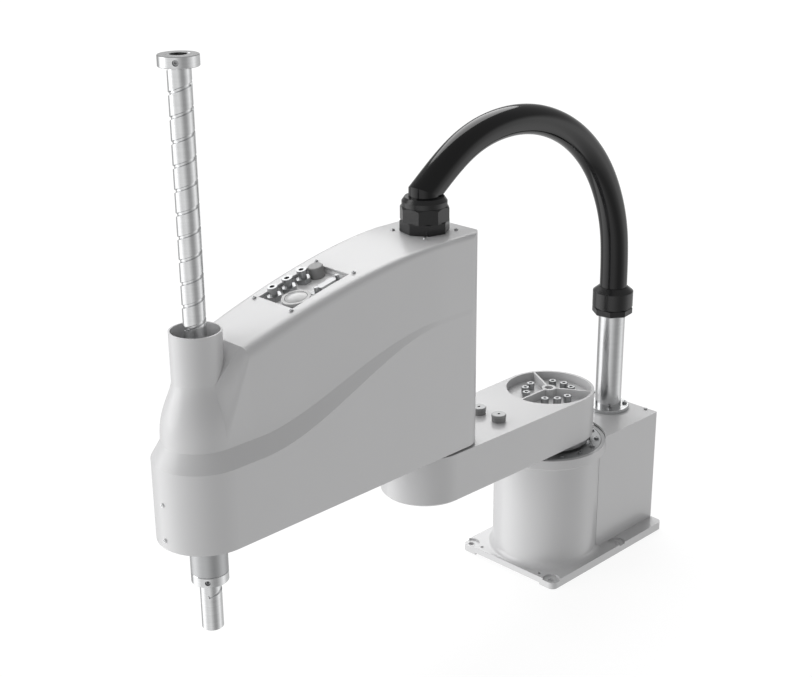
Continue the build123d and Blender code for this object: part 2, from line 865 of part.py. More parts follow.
# Screws through the cover: two at the front and two at the rear
cover_front = tool_x + cover_half_width
rear_screw_y = 20.0
front_face = Plane(origin=(cover_front, 0, 0), x_dir=(0, 1, 0), z_dir=(1, 0, 0))
rear_wall = Plane(origin=(cover_rear, 0, 0), x_dir=(0, -1, 0), z_dir=(-1, 0, 0))
front_screw_places = [(0, height) for height in cover_screw_heights]
rear_screw_places = [(y, cover_screw_heights[0]) for y in (-rear_screw_y, rear_screw_y)]

with BuildPart() as cover:
    add(cover_body(0))
    with BuildSketch(at(tool_x, nose_crown_height - 12)):
        Circle(cup_radius)
    extrude(amount=cup_rim - nose_crown_height + 12)
    add(cover_body(wall), mode=Mode.SUBTRACT)
    with BuildSketch(at(tool_x, nose_crown_height - 20)):
        Circle(cup_radius - cup_wall)
    extrude(amount=cup_rim, mode=Mode.SUBTRACT)
    with BuildSketch(panel_plane(-4 * wall)):
        Rectangle(window_length, window_width)
    extrude(amount=8 * wall, mode=Mode.SUBTRACT)
    with BuildSketch(panel_plane(-4 * wall)):
        with GridLocations(2 * panel_screw_u, 2 * panel_screw_v, 2, 2):
            Circle(small_shank + fit_gap)
    extrude(amount=8 * wall, mode=Mode.SUBTRACT)
    with BuildSketch(at(elbow_x, cover_top - 2 * wall)):
        Circle(gland_hole_radius)
        with GridLocations(gland_screw_spacing, gland_screw_spacing, 2, 2):
            Circle(small_shank + fit_gap)
    extrude(amount=4 * wall, mode=Mode.SUBTRACT)
    with BuildSketch(front_face):
        with Locations(*front_screw_places):
            Circle(small_shank + fit_gap)
    extrude(amount=2 * wall, both=True, mode=Mode.SUBTRACT)
    with BuildSketch(rear_wall):
        with Locations(*rear_screw_places):
            Circle(small_shank + fit_gap)
    extrude(amount=2 * wall, both=True, mode=Mode.SUBTRACT)

cover.part.label = "cover"
export_step(cover.part, "parts/cover.step")

# Frame of the second arm: a floor, a box under the shelf and rails for the turning motor
frame_half_width = cover_half_width - wall - 0.5
frame_rear = cover_rear + wall + 0.3
shelf_rear = tool_x - z_motor_reach - small_motor_size / 2 - 3
web_front = tool_x - web_reach
box_half_width = small_motor_size / 2 + 10
shelf_height = shelf_bottom + shelf_thickness
rail_height = 26.0
pulley_bottom = frame_top + quill_flange_thickness + 5
z_motor_x = tool_x - z_motor_reach
r_motor_x = z_motor_x - small_motor_size - motor_gap
screw_length = 8.0

with BuildPart() as arm_2_frame:
    with BuildSketch(at(frame_rear, frame_bottom)) as floor_plan:
        Rectangle(tool_x - frame_rear, 2 * frame_half_width, align=(Align.MIN, Align.CENTER))
        fillet(floor_plan.vertices().group_by(Axis.X)[0], cover_corner - wall - 0.3)
        with Locations((tool_x - frame_rear, 0)):
            Circle(frame_half_width)
    extrude(amount=frame_thickness)
    with BuildSketch(at(shelf_rear, frame_top)):
        Rectangle(web_front - shelf_rear, 2 * box_half_width, align=(Align.MIN, Align.CENTER))
        Rectangle(
            web_front - web_thickness - shelf_rear,
            2 * (box_half_width - 6.5),
            align=(Align.MIN, Align.CENTER),
            mode=Mode.SUBTRACT,
        )
    extrude(amount=shelf_bottom - frame_top)
    with BuildSketch(at(0, shelf_bottom)):
        with Locations(((shelf_rear + tool_x) / 2, 0)):
            Rectangle(tool_x - shelf_rear, 2 * box_half_width)
        with Locations((tool_x, 0)):
            Circle(box_half_width)
    extrude(amount=shelf_thickness)
    with BuildSketch(at(r_motor_x, frame_top)):
        with GridLocations(0, small_motor_size + 8, 1, 2):
            Rectangle(small_motor_size + 10, 8)
    extrude(amount=rail_height)
    with BuildSketch(at(tool_x + frame_half_width - 3.6, frame_top)):
        Rectangle(7.2, 16)
    extrude(amount=lug_top - frame_top)
    with BuildSketch(at(tool_x, frame_top)):
        Circle(frame_half_width + 20)
        Circle(frame_half_width, mode=Mode.SUBTRACT)
    extrude(amount=lug_top, mode=Mode.SUBTRACT)
    with BuildSketch(at(elbow_x, frame_bottom)):
        Circle(j2_reducer_radius + fit_gap)
    extrude(amount=frame_thickness, mode=Mode.SUBTRACT)
    with BuildSketch(at(tool_x, frame_bottom)):
        Circle(quill_radius + fit_gap)
    extrude(amount=frame_thickness, mode=Mode.SUBTRACT)
    with BuildSketch(at(tool_x, shelf_bottom)):
        Circle(screw_nut_radius + 10)
        with Locations((-z_motor_reach, 0)):
            Circle(motor_pulley_radius)
    extrude(amount=shelf_thickness, mode=Mode.SUBTRACT)
    with BuildSketch(at(web_front - web_thickness / 2, pulley_bottom - 4)):
        Rectangle(2 * web_thickness, 2 * (tool_pulley_radius + belt_thickness + 3))
    extrude(amount=pulley_height + 8, mode=Mode.SUBTRACT)
    with BuildSketch(front_face):
        with Locations(*front_screw_places):
            Circle(small_shank + fit_gap)
    extrude(amount=-2 * wall - screw_length, mode=Mode.SUBTRACT)
    with BuildSketch(rear_wall):
        with Locations(*rear_screw_places):
            Circle(small_shank + fit_gap)
    extrude(amount=-2 * wall - screw_length, mode=Mode.SUBTRACT)

arm_2_frame.part.label = "arm_2_frame"
export_step(arm_2_frame.part, "parts/arm_2_frame.step")


def screws(plane, places, length):
    """Button headed socket screws at places on a plane, with their shanks below it."""
    with BuildPart() as group:
        with BuildSketch(plane):
            with Locations(*places):
                Circle(small_head)
        extrude(amount=small_head_height, taper=20)
        with BuildSketch(plane):
            with Locations(*places):
                Circle(small_shank)
        extrude(amount=-length)
        with BuildSketch(plane.offset(small_head_height - 1.2)):
            with Locations(*places):
                RegularPolygon(1.2, 6)
        extrude(amount=2, mode=Mode.SUBTRACT)
    return group.part


with BuildPart() as cover_screws:
    add(screws(front_face, front_screw_places, wall + screw_length))
    add(screws(rear_wall, rear_screw_places, wall + screw_length))

cover_screws.part.label = "cover_screws"
export_step(cover_screws.part, "parts/cover_screws.step")

gland_screw_places = [
    (x, y)
    for x in (-gland_screw_spacing / 2, gland_screw_spacing / 2)
    for y in (-gland_screw_spacing / 2, gland_screw_spacing / 2)
]

with BuildPart() as gland_screws:
    add(screws(at(elbow_x, cover_top), gland_screw_places, 2 * wall))

gland_screws.part.label = "gland_screws"
export_step(gland_screws.part, "parts/gland_screws.step")

# Upper gland: lock ring on the cover, nut with a round tapered cap, and the boot of the hose
upper_nut_bottom = cover_top + upper_ring_height
upper_nut_top = upper_nut_bottom + upper_nut_height
upper_cap_bottom = upper_nut_top + upper_band_height
boot_bottom = upper_cap_bottom + upper_taper_height
corner_reach = upper_gland_radius - upper_gland_radius * cos(radians(half_side_turn))

with BuildPart() as upper_gland_ring:
    add(
        octagon_piece(
            elbow_x,
            cover_top,
            upper_ring_height,
            upper_gland_radius,
            gland_turn + half_side_turn,
            cable_bore,
        )
    )
    chamfer(upper_gland_ring.edges().group_by(Axis.Z)[0].group_by(SortBy.LENGTH)[0], 1)
    with BuildSketch(at(elbow_x, cover_top - wall)):
        Circle(gland_hole_radius - fit_gap)
        Circle(cable_bore, mode=Mode.SUBTRACT)
    extrude(amount=wall)

upper_gland_ring.part.label = "upper_gland_ring"
export_step(upper_gland_ring.part, "parts/upper_gland_ring.step")

with BuildPart() as upper_gland_nut:
    add(
        octagon_piece(
            elbow_x,
            upper_nut_bottom,
            upper_nut_height,
            upper_gland_radius,
            gland_turn,
            cable_bore,
        )
    )
    with BuildSketch(Plane.XZ):
        with BuildLine():
            Polyline(
                (elbow_x, upper_nut_bottom),
                (elbow_x + upper_gland_radius, upper_nut_bottom),
                (elbow_x + upper_gland_radius, upper_nut_top - corner_reach),
                (elbow_x + upper_gland_radius - corner_reach, upper_nut_top),
                (elbow_x, upper_nut_top),
                (elbow_x, upper_nut_bottom),
            )
        make_face()
    revolve(axis=Axis((elbow_x, 0, 0), (0, 0, 1)), mode=Mode.INTERSECT)
    with BuildSketch(at(elbow_x, upper_nut_top)):
        Circle(upper_band_radius)
        Circle(cable_bore, mode=Mode.SUBTRACT)
    extrude(amount=upper_band_height + upper_taper_height)
    chamfer(
        upper_gland_nut.edges().group_by(Axis.Z)[-1].sort_by(SortBy.LENGTH)[-1],
        upper_taper_height,
        upper_band_radius - upper_rim_radius,
    )

upper_gland_nut.part.label = "upper_gland_nut"
export_step(upper_gland_nut.part, "parts/upper_gland_nut.step")

# The boot turns the hose over towards the standpipe with a sharp mitre just above the nut
boot_end_x = elbow_x - boot_reach * sin(radians(boot_turn))
boot_end_z = boot_mitre + boot_reach * cos(radians(boot_turn))

with BuildPart() as hose_boot:
    with BuildLine() as boot_path:
        Polyline(
            (elbow_x, 0, boot_bottom - boot_reach),
            (elbow_x, 0, boot_mitre),
            (boot_end_x, 0, boot_end_z),
        )
    with BuildSketch(Plane(origin=boot_path.line @ 0, z_dir=boot_path.line % 0)):
        Circle(hose_radius)
    sweep(transition=Transition.RIGHT)
    with BuildSketch(at(elbow_x, boot_bottom)):
        Rectangle(6 * hose_radius, 6 * hose_radius)
    extrude(amount=-4 * hose_radius, mode=Mode.SUBTRACT)

hose_boot.part.label = "hose_boot"
export_step(hose_boot.part, "parts/hose_boot.step")

# Hose: its route in the plane y = 0, as (x, z), from the boot to the nut on the standpipe
hose_lead_x = hose_lead * sin(radians(boot_turn))
hose_lead_z = hose_lead * cos(radians(boot_turn))
hose_route = [
    (boot_end_x, boot_end_z),
    (boot_end_x - hose_lead_x, boot_end_z + hose_lead_z),
    (155.3, 641.1),
    (103.9, 648.8),
    (52.4, 645.0),
    (4.5, 630.5),
    (-38.6, 607.1),
    (-76.5, 574.4),
    (-106.3, 534.7),
    (-129.7, 482.9),
    (pipe_x, 428.0),
    (pipe_x, lower_nut_top),
]
hose_share = 4


def hose_run(start, end):
    return Vector(hose_route[end][0] - hose_route[start][0], hose_route[end][1] - hose_route[start][1])


def hose_bend(corner):
    """The bend radius at a corner: nearly half of the shorter run beside it is used up."""
    before = hose_run(corner - 1, corner)
    after = hose_run(corner, corner + 1)
    half_turn = radians(before.get_angle(after) / 2)
    return 0.45 * min(before.length, after.length) / tan(half_turn)


def hose_piece(points, bends):
    """A length of hose swept along straight runs with round bends between them."""
    with BuildPart() as piece:
        with BuildLine() as path:
            FilletPolyline(*[(x, 0, z) for x, z in points], radius=bends)
        with BuildSketch(Plane(origin=path.line @ 0, z_dir=path.line % 0)):
            Circle(hose_radius)
        sweep()
    length = sum(edge.length for edge in path.edges())
    swept = piece.part.volume / (pi * hose_radius**2)
    print("hose length", round(length), "by volume", round(swept))
    return piece.part


hose_bends = [hose_bend(corner) for corner in range(1, len(hose_route) - 1)]
print("hose bend radii", [round(bend) for bend in hose_bends])
hose_split = (
    (hose_route[hose_share - 1][0] + hose_route[hose_share][0]) / 2,
    (hose_route[hose_share - 1][1] + hose_route[hose_share][1]) / 2,
)

with BuildPart() as hose_upper:
    add(hose_piece(hose_route[:hose_share] + [hose_split], hose_bends[: hose_share - 1]))

hose_upper.part.label = "hose_upper"
export_step(hose_upper.part, "parts/hose_upper.step")

with BuildPart() as hose_lower:
    add(hose_piece([hose_split] + hose_route[hose_share:], hose_bends[hose_share - 1 :]))

hose_lower.part.label = "hose_lower"
export_step(hose_lower.part, "parts/hose_lower.step")

# Panel: a tray that hangs in the window by its rim
panel_seat = -wall - fit_gap
panel_floor = -panel_depth

with BuildPart() as panel_tray:
    with BuildSketch(panel_plane(panel_seat)):
        Rectangle(window_length + 2 * panel_rim, window_width + 10)
    extrude(amount=-panel_thickness)
    with BuildSketch(panel_plane(panel_seat)):
        Rectangle(window_length + 2 * panel_thickness, window_width + 2 * panel_thickness)
    extrude(amount=panel_floor - panel_thickness - panel_seat)
    with BuildSketch(panel_plane(panel_floor)):
        RectangleRounded(window_length - 1, window_width - 1, 2)
    extrude(amount=panel_depth, mode=Mode.SUBTRACT)
    with BuildSketch(panel_plane(panel_seat)):
        with GridLocations(2 * panel_screw_u, 2 * panel_screw_v, 2, 2):
            Circle(small_shank + fit_gap)
    extrude(amount=-2 * panel_depth, mode=Mode.SUBTRACT)

panel_tray.part.label = "panel_tray"
export_step(panel_tray.part, "parts/panel_tray.step")

panel_screw_places = [
    (u, v) for u in (-panel_screw_u, panel_screw_u) for v in (-panel_screw_v, panel_screw_v)
]

with BuildPart() as panel_screws:
    add(screws(panel_plane(0.6), panel_screw_places, 2 * wall))

panel_screws.part.label = "panel_screws"
export_step(panel_screws.part, "parts/panel_screws.step")

# On the panel: three push-in air fittings, a brake button, a cap and a flat socket
socket_length = window_length - button_inset - 2 * button_radius - socket_gap - socket_inset
post_spacing = socket_length - 10
fitting_side = fitting_side_inset - window_width / 2
fitting_places = [
    (window_length / 2 - fitting_front_inset - step * fitting_spacing, fitting_side)
    for step in range(3)
]
button_place = (window_length / 2 - button_inset - button_radius, 11.0)
cap_place = (cap_inset - window_length / 2, -16.0)
socket_place = ((socket_length - window_length) / 2 + socket_inset, 15.0)

with BuildPart() as panel_fittings:
    with BuildSketch(panel_plane(panel_floor)):
        with Locations(*fitting_places):
            RegularPolygon(8, 6, major_radius=False)
            Circle(tube_bore, mode=Mode.SUBTRACT)
    extrude(amount=6)
    with BuildSketch(panel_plane(panel_floor)):
        with Locations(*fitting_places):
            Circle(4.6)
            Circle(tube_bore, mode=Mode.SUBTRACT)
    extrude(amount=11)
    with BuildSketch(panel_plane(panel_floor + 11)):
        with Locations(*fitting_places):
            Circle(fitting_radius)
            Circle(tube_bore, mode=Mode.SUBTRACT)
    extrude(amount=fitting_height - 11)

panel_fittings.part.label = "panel_fittings"
export_step(panel_fittings.part, "parts/panel_fittings.step")

with BuildPart() as button_rim:
    with BuildSketch(panel_plane(panel_floor)):
        with Locations(button_place):
            Circle(button_radius)
    extrude(amount=panel_depth)
    with BuildSketch(panel_plane(panel_floor + 2)):
        with Locations(button_place):
            Circle(button_dome_radius + running_gap)
    extrude(amount=panel_depth, mode=Mode.SUBTRACT)

button_rim.part.label = "button_rim"
export_step(button_rim.part, "parts/button_rim.step")

dome_height = 2.5
dome_skirt = 3.0
dome_ball = (button_dome_radius**2 + dome_height**2) / (2 * dome_height)
button_seat = panel_plane(0)
button_side = Plane(
    origin=button_seat.from_local_coords((button_place[0], button_place[1], 0)),
    x_dir=button_seat.x_dir,
    z_dir=-button_seat.y_dir,
)

with BuildPart() as brake_button:
    with BuildSketch(button_side):
        with BuildLine():
            Polyline((0, dome_height), (0, -dome_skirt), (button_dome_radius, -dome_skirt))
            Line((button_dome_radius, -dome_skirt), (button_dome_radius, 0))
            RadiusArc((button_dome_radius, 0), (0, dome_height), -dome_ball)
        make_face()
    revolve(axis=Axis(button_side.origin, button_seat.z_dir))

brake_button.part.label = "brake_button"
export_step(brake_button.part, "parts/brake_button.step")

with BuildPart() as panel_cap:
    with BuildSketch(panel_plane(panel_floor)):
        with Locations(cap_place):
            Circle(cap_radius)
    extrude(amount=cap_height)
    chamfer(panel_cap.edges().sort_by(Axis.Z)[-1], 1)

panel_cap.part.label = "panel_cap"
export_step(panel_cap.part, "parts/panel_cap.step")

with BuildPart() as panel_socket:
    with BuildSketch(panel_plane(panel_floor)):
        with Locations(socket_place):
            RectangleRounded(socket_length, 13, 2)
    extrude(amount=1.2)
    with BuildSketch(panel_plane(panel_floor)):
        with Locations(socket_place):
            RectangleRounded(socket_length - 18, 9, 3)
    extrude(amount=6)
    with BuildSketch(panel_plane(panel_floor)):
        with Locations(socket_place):
            with GridLocations(post_spacing, 0, 2, 1):
                RegularPolygon(2.6, 6)
    extrude(amount=8)

panel_socket.part.label = "panel_socket"
export_step(panel_socket.part, "parts/panel_socket.step")

# Quill: the housing under the second arm, its bearings and the spline nut that turns the shaft
quill_bore = quill_radius - quill_wall
quill_top = frame_top + quill_flange_thickness
spline_nut_bottom = quill_bottom + 1.5
spline_nut_top = pulley_bottom + pulley_height + 6
nut_bore = shaft_radius + shaft_clearance

with BuildPart() as quill_housing:
    with BuildSketch(at(tool_x, quill_bottom)):
        Circle(quill_radius)
    extrude(amount=frame_top - quill_bottom)
    with BuildSketch(at(tool_x, frame_top)):
        Circle(quill_flange_radius)
    extrude(amount=quill_flange_thickness)
    with BuildSketch(at(tool_x, quill_bottom)):
        Circle(spline_nut_radius + 1)
    extrude(amount=quill_top - quill_bottom, mode=Mode.SUBTRACT)
    with BuildSketch(at(tool_x, quill_bottom + 2.5)):
        Circle(quill_bore)
    extrude(amount=quill_top - quill_bottom, mode=Mode.SUBTRACT)

quill_housing.part.label = "quill_housing"
export_step(quill_housing.part, "parts/quill_housing.step")

with BuildPart() as quill_screws:
    with BuildSketch(at(tool_x, quill_top)):
        with PolarLocations(quill_flange_radius - 5, 4, start_angle=45):
            Circle(3)
            RegularPolygon(1.4, 6, mode=Mode.SUBTRACT)
    extrude(amount=2.5)
    with BuildSketch(at(tool_x, quill_top)):
        with PolarLocations(quill_flange_radius - 5, 4, start_angle=45):
            Circle(3)
    extrude(amount=1)

quill_screws.part.label = "quill_screws"
export_step(quill_screws.part, "parts/quill_screws.step")

with BuildPart() as quill_bearings:
    for bottom in (quill_bottom + 2.5, quill_top - 9):
        with BuildSketch(at(tool_x, bottom)):
            Circle(quill_bore - 0.1)
            Circle(spline_nut_radius + 0.1, mode=Mode.SUBTRACT)
        extrude(amount=8)

quill_bearings.part.label = "quill_bearings"
export_step(quill_bearings.part, "parts/quill_bearings.step")

with BuildPart() as spline_nut:
    with BuildSketch(at(tool_x, spline_nut_bottom)):
        Circle(spline_nut_radius)
        Circle(nut_bore, mode=Mode.SUBTRACT)
    extrude(amount=spline_nut_top - spline_nut_bottom)

spline_nut.part.label = "spline_nut"
export_step(spline_nut.part, "parts/spline_nut.step")

# Ball screw nut in the shelf, and its bearing
screw_nut_bottom = shelf_bottom - 8

with BuildPart() as screw_nut:
    with BuildSketch(at(tool_x, screw_nut_bottom)):
        Circle(screw_nut_radius)
        Circle(nut_bore, mode=Mode.SUBTRACT)
    extrude(amount=screw_nut_length)

screw_nut.part.label = "screw_nut"
export_step(screw_nut.part, "parts/screw_nut.step")

with BuildPart() as screw_nut_bearing:
    with BuildSketch(at(tool_x, shelf_bottom)):
        Circle(screw_nut_radius + 9.9)
        Circle(screw_nut_radius + 0.1, mode=Mode.SUBTRACT)
    extrude(amount=shelf_thickness)

screw_nut_bearing.part.label = "screw_nut_bearing"
export_step(screw_nut_bearing.part, "parts/screw_nut_bearing.step")


def pulley(x, bottom, bore):
    """A flanged belt pulley; with no bore it gets a motor shaft instead."""
    radius = tool_pulley_radius if bore else motor_pulley_radius
    with BuildPart() as piece:
        with BuildSketch(at(x, bottom)):
            Circle(radius)
        extrude(amount=pulley_height)
        for flange in (bottom - 1, bottom + pulley_height):
            with BuildSketch(at(x, flange)):
                Circle(radius + belt_thickness)
            extrude(amount=1)
        if bore:
            with BuildSketch(at(x, bottom - 1)):
                Circle(bore)
            extrude(amount=pulley_height + 2, mode=Mode.SUBTRACT)
    return piece.part


def belt(motor_x, bottom):
    """A belt from a motor pulley to the pulley on the tool axis."""
    with BuildPart() as piece:
        with BuildSketch(at(0, bottom + 0.5)):
            link_outline(
                motor_x,
                motor_pulley_radius + belt_thickness,
                tool_x,
                tool_pulley_radius + belt_thickness,
            )
            link_outline(
                motor_x,
                motor_pulley_radius + 0.2,
                tool_x,
                tool_pulley_radius + 0.2,
                mode=Mode.SUBTRACT,
            )
        extrude(amount=pulley_height - 1)
    return piece.part


def motor(x, bottom):
    """A square servo motor with a pocket for its shaft at each end."""
    with BuildPart() as piece:
        with BuildSketch(at(x, bottom)):
            RectangleRounded(small_motor_size, small_motor_size, 5)
        extrude(amount=small_motor_length)
        for end in (bottom, bottom + small_motor_length - 6):
            with BuildSketch(at(x, end)):
                Circle(6)
            extrude(amount=6, mode=Mode.SUBTRACT)
    return piece.part


# Turning drive: motor on the rails, belt to the spline nut
r_motor_bottom = frame_top + rail_height + 6
screw_pulley_bottom = shelf_height + 4

with BuildPart() as spline_pulley:
    add(pulley(tool_x, pulley_bottom, spline_nut_radius + 0.1))

spline_pulley.part.label = "spline_pulley"
export_step(spline_pulley.part, "parts/spline_pulley.step")

with BuildPart() as r_motor:
    add(motor(r_motor_x, r_motor_bottom))
    with BuildSketch(at(r_motor_x, r_motor_bottom - 6)):
        Rectangle(small_motor_size, small_motor_size + 16)
        Circle(6, mode=Mode.SUBTRACT)
    extrude(amount=6)

r_motor.part.label = "r_motor"
export_step(r_motor.part, "parts/r_motor.step")

with BuildPart() as r_motor_pulley:
    add(pulley(r_motor_x, pulley_bottom, 0))
    with BuildSketch(at(r_motor_x, pulley_bottom + pulley_height)):
        Circle(6 - running_gap)
    extrude(amount=r_motor_bottom - pulley_bottom - pulley_height)

r_motor_pulley.part.label = "r_motor_pulley"
export_step(r_motor_pulley.part, "parts/r_motor_pulley.step")

with BuildPart() as r_belt:
    add(belt(r_motor_x, pulley_bottom))

r_belt.part.label = "r_belt"
export_step(r_belt.part, "parts/r_belt.step")

# Lifting drive: motor under the shelf, belt to the ball screw nut
with BuildPart() as screw_pulley:
    add(pulley(tool_x, screw_pulley_bottom, screw_nut_radius + 0.1))

screw_pulley.part.label = "screw_pulley"
export_step(screw_pulley.part, "parts/screw_pulley.step")

with BuildPart() as z_motor:
    add(motor(z_motor_x, shelf_bottom - small_motor_length))

z_motor.part.label = "z_motor"
export_step(z_motor.part, "parts/z_motor.step")

with BuildPart() as z_motor_pulley:
    add(pulley(z_motor_x, screw_pulley_bottom, 0))
    with BuildSketch(at(z_motor_x, shelf_bottom - 5)):
        Circle(6 - running_gap)
    extrude(amount=screw_pulley_bottom - shelf_bottom + 5)

z_motor_pulley.part.label = "z_motor_pulley"
export_step(z_motor_pulley.part, "parts/z_motor_pulley.step")

with BuildPart() as z_belt:
    add(belt(z_motor_x, screw_pulley_bottom))

z_belt.part.label = "z_belt"
export_step(z_belt.part, "parts/z_belt.step")

# Tool shaft: bored through, with one right-handed ball groove up to its top end. The groove is
# cut a few turns at a time.
groove_turns = 4
groove_rise = groove_turns * screw_lead
groove_lengths = ceil((shaft_top - groove_start_height) / groove_rise)
groove_half = groove_width / 2

with BuildPart() as groove:
    with BuildLine() as groove_path:
        Helix(screw_lead, groove_rise, shaft_radius)
    start = groove_path.line @ 0
    with BuildSketch(Plane(origin=start, x_dir=(1, 0, 0), z_dir=groove_path.line % 0)):
        Polygon(
            (-groove_depth, -groove_half * 0.5),
            (1, -groove_half * 1.3),
            (1, groove_half * 1.3),
            (-groove_depth, groove_half * 0.5),
            align=None,
        )
    sweep(is_frenet=True)

with BuildPart() as tool_shaft:
    with BuildSketch(at(tool_x, shaft_bottom)):
        Circle(shaft_radius)
        Circle(shaft_bore, mode=Mode.SUBTRACT)
    extrude(amount=shaft_top - shaft_bottom)
    chamfer(tool_shaft.edges().filter_by(GeomType.CIRCLE).group_by(Axis.Z)[0], 1)
    for length in range(groove_lengths):
        foot = (tool_x, 0, groove_start_height + length * groove_rise)
        add(Location(foot, (0, 0, 1), groove_start_angle) * groove.part, mode=Mode.SUBTRACT)

tool_shaft.part.label = "tool_shaft"
export_step(tool_shaft.part, "parts/tool_shaft.step")

# Stop collars, one clamped at the shaft's top and one just under the quill
lower_collar_bottom = quill_bottom - 0.5 - stop_collar_height
collar_bottoms = (lower_collar_bottom, shaft_top - stop_collar_height)
clamp_direction = Vector(1, 1, 0).normalized()


def clamp_planes(reach):
    """The planes of the two clamp screws, at that reach from the shaft's axis."""
    return [
        Plane(
            origin=Vector(tool_x, 0, bottom + stop_collar_height / 2) + clamp_direction * reach,
            z_dir=clamp_direction,
        )
        for bottom in collar_bottoms
    ]


with BuildPart() as stop_collars:
    for bottom in collar_bottoms:
        with BuildSketch(at(tool_x, bottom)):
            Circle(stop_collar_radius)
            Circle(shaft_radius + 0.1, mode=Mode.SUBTRACT)
        extrude(amount=stop_collar_height)
    chamfer(stop_collars.edges().filter_by(GeomType.CIRCLE).filter_by(lambda e: e.radius > 20), 0.7)
    for plane in clamp_planes(shaft_radius + 1):
        with BuildSketch(plane):
            Circle(3.2)
        extrude(amount=stop_collar_radius, mode=Mode.SUBTRACT)

stop_collars.part.label = "stop_collars"
export_step(stop_collars.part, "parts/stop_collars.step")

with BuildPart() as collar_screws:
    for plane in clamp_planes(shaft_radius + 1):
        with BuildSketch(plane):
            Circle(3)
        extrude(amount=5.5)
        with BuildSketch(plane.offset(3)):
            RegularPolygon(1.6, 6)
        extrude(amount=5, mode=Mode.SUBTRACT)

collar_screws.part.label = "collar_screws"
export_step(collar_screws.part, "parts/collar_screws.step")
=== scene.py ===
import json
from math import cos, pi, radians, sin

import bmesh
import bpy
from mathutils import Matrix, Vector


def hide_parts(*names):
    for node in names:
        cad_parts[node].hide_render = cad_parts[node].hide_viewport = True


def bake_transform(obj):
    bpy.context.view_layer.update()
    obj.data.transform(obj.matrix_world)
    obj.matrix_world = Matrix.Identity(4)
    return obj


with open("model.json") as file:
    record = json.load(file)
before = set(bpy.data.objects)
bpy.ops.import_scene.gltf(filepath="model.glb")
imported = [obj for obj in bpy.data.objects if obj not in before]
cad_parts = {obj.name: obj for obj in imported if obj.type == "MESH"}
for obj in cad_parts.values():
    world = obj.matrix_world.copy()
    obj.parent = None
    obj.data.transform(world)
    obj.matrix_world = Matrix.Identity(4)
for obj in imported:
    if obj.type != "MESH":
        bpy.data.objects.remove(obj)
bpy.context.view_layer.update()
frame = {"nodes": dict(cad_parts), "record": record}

# The camera stands where the photograph's did, worked out from the shaft, the base and the arms.
image_width = 812
focal_pixels = 1415.5
sensor_width = 36.0
sight = 100.0
camera_place = Vector((1.4411, 1.1559, 1.0146))
camera_yaw = -2.3571
camera_pitch = 0.3566
camera_roll = 0.0063

forward = Vector(
    (
        cos(camera_yaw) * cos(camera_pitch),
        sin(camera_yaw) * cos(camera_pitch),
        -sin(camera_pitch),
    )
)
level = Vector((sin(camera_yaw), -cos(camera_yaw), 0.0))
down = forward.cross(level)
right = level * cos(camera_roll) + down * sin(camera_roll)
up = -(down * cos(camera_roll) - level * sin(camera_roll))

camera_data = bpy.data.cameras.new("camera")
camera_data.sensor_width = sensor_width
camera_data.lens = focal_pixels / image_width * sensor_width
camera_data.clip_end = sight
camera = bpy.data.objects.new("camera", camera_data)
bpy.context.scene.collection.objects.link(camera)
camera.matrix_world = Matrix.Translation(camera_place) @ Matrix(
    (right, up, -forward)
).transposed().to_4x4()
bpy.context.scene.camera = camera

# Scales of the noise in the materials, and the roughness of a clear coat
tone_scale = 9.0
gloss_scale = 34.0
peel_scale = 900.0
grain_scale = 40.0
coat_roughness = 0.12
peel_strength = 0.15
grain_depth = 0.000004
grain_strength = 0.2
grain_shade = 0.93

# How far a material's roughness strays from its own value
paint_change = 0.015
metal_change = 0.02


# Small helpers for node materials
def surface(name):
    """A new node material with its tree and its shader."""
    material = bpy.data.materials.new(name)
    material.use_nodes = True
    tree = material.node_tree
    shader = tree.nodes["Principled BSDF"]
    return material, tree, shader


def object_noise(tree, scale, detail=3.0, stretch=(1, 1, 1)):
    """Noise in the object's own space, stretched along its axes."""
    place = tree.nodes.new("ShaderNodeTexCoord")
    mapping = tree.nodes.new("ShaderNodeMapping")
    mapping.inputs["Scale"].default_value = stretch
    noise = tree.nodes.new("ShaderNodeTexNoise")
    noise.inputs["Scale"].default_value = scale
    noise.inputs["Detail"].default_value = detail
    tree.links.new(place.outputs["Object"], mapping.inputs["Vector"])
    tree.links.new(mapping.outputs["Vector"], noise.inputs["Vector"])
    return noise.outputs["Fac"]


def spread(tree, value, low, high):
    """Maps the middle part of a noise's range to the values from low to high."""
    node = tree.nodes.new("ShaderNodeMapRange")
    node.inputs["From Min"].default_value = 0.3
    node.inputs["From Max"].default_value = 0.7
    node.inputs["To Min"].default_value = low
    node.inputs["To Max"].default_value = high
    tree.links.new(value, node.inputs["Value"])
    return node.outputs["Result"]


def blend_colours(tree, value, first, second):
    """Mixes two colours by a value from 0 to 1."""
    node = tree.nodes.new("ShaderNodeMix")
    node.data_type = "RGBA"
    node.inputs["A"].default_value = (*first, 1.0)
    node.inputs["B"].default_value = (*second, 1.0)
    tree.links.new(value, node.inputs["Factor"])
    return node.outputs["Result"]


def raise_bumps(tree, shader, value, distance, strength):
    """Uses a value as fine relief."""
    node = tree.nodes.new("ShaderNodeBump")
    node.inputs["Strength"].default_value = strength
    node.inputs["Distance"].default_value = distance
    tree.links.new(value, node.inputs["Height"])
    tree.links.new(node.outputs["Normal"], shader.inputs["Normal"])


